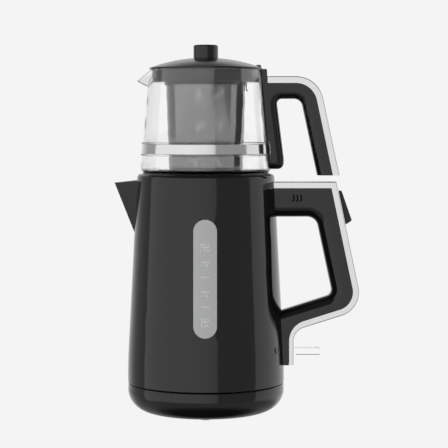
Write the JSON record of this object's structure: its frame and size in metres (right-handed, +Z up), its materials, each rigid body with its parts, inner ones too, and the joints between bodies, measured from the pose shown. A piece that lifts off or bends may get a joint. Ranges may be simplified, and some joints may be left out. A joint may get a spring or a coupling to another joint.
{
  "type": "automatic tea maker",
  "caption": "Electric kettle on a corded power base with a glass teapot, infuser and lid stacked on top, silver-backed handles, a clear lever and a water gauge.",
  "frame": {"origin": "on the kettle's vertical axis at table level, at the centre of the base's underside", "axes": "+Z up, +X towards both handles, -Y towards the water gauge"},
  "size_m": [0.2564, 0.1667, 0.3861],
  "materials": {
    "black_plastic": "glossy black moulded plastic",
    "matte_plastic": "black moulded plastic, fine texture",
    "smoked_plastic": "smoky grey moulded plastic",
    "clear_plastic": "clear acrylic, polished",
    "frosted_window": "frosted clear plastic",
    "glass": "clear heat-proof glass",
    "steel": "polished stainless steel",
    "steel_mesh": "etched stainless steel mesh",
    "steel_screw": "zinc plated",
    "silver_trim": "satin silver",
    "brass": "bare contact metal",
    "rubber": "matt",
    "silicone": "soft silicone",
    "lamp": "lamp on a board"
  },
  "bodies": {
    "power_base": {"base_shell": "black_plastic", "base_bottom_cover": "matte_plastic", "base_feet": "rubber", "base_screws": "steel_screw", "base_connector_pillar": "matte_plastic", "connector_contacts": "brass", "cord_gland": "rubber"},
    "kettle": {"kettle_body": "black_plastic", "spout": "black_plastic", "spout_filter": "matte_plastic", "water_gauge": "frosted_window", "gauge_seal": "silicone", "element_plate": "steel", "plate_seal": "silicone", "heating_element": "steel", "kettle_connector": "matte_plastic", "thermostat_control": "matte_plastic", "kettle_bottom_cover": "matte_plastic", "kettle_bottom_screws": "steel_screw", "kettle_handle": "black_plastic", "handle_trim": "silver_trim", "handle_screws": "steel_screw", "steam_tube": "silicone", "rocker_housing": "matte_plastic", "lever_pin": "steel_screw", "power_lamp": "lamp"},
    "warm_rocker": {"rocker_switch": "matte_plastic"},
    "power_lever": {"lever": "clear_plastic"},
    "steam_lid": {"kettle_lid": "black_plastic", "lid_seal": "silicone"},
    "teapot": {"teapot_glass": "glass", "clamp_band": "steel", "teapot_handle": "black_plastic", "teapot_handle_trim": "silver_trim", "band_screw": "steel_screw"},
    "infuser": {"infuser_collar": "smoked_plastic", "infuser_basket": "steel_mesh", "infuser_hook": "smoked_plastic"},
    "teapot_cover": {"teapot_lid": "black_plastic", "lid_skirt": "black_plastic", "lid_knob": "black_plastic", "knob_screw": "steel_screw"}
  },
  "joints": [
    {"name": "kettle_lift", "type": "slide", "parent": "power_base", "child": "kettle", "axis": [0, 0, 1], "range_m": [0, 0.04]},
    {"name": "rocker_turn", "type": "hinge", "parent": "kettle", "child": "warm_rocker", "pos_m": [0.13848, 0, 0.2171], "axis": [0, 1, 0], "range_deg": [0, 16]},
    {"name": "lever_turn", "type": "hinge", "parent": "kettle", "child": "power_lever", "pos_m": [0.0852, 0, 0.0644], "axis": [0, 1, 0], "range_deg": [0, 10]},
    {"name": "steam_lid_lift", "type": "slide", "parent": "kettle", "child": "steam_lid", "axis": [0, 0, 1], "range_m": [0, 0.03]},
    {"name": "teapot_lift", "type": "slide", "parent": "steam_lid", "child": "teapot", "axis": [0, 0, 1], "range_m": [0, 0.06]},
    {"name": "infuser_lift", "type": "slide", "parent": "teapot", "child": "infuser", "axis": [0, 0, 1], "range_m": [0, 0.11]},
    {"name": "lid_lift", "type": "slide", "parent": "infuser", "child": "teapot_cover", "axis": [0, 0, 1], "range_m": [0, 0.04]}
  ]
}
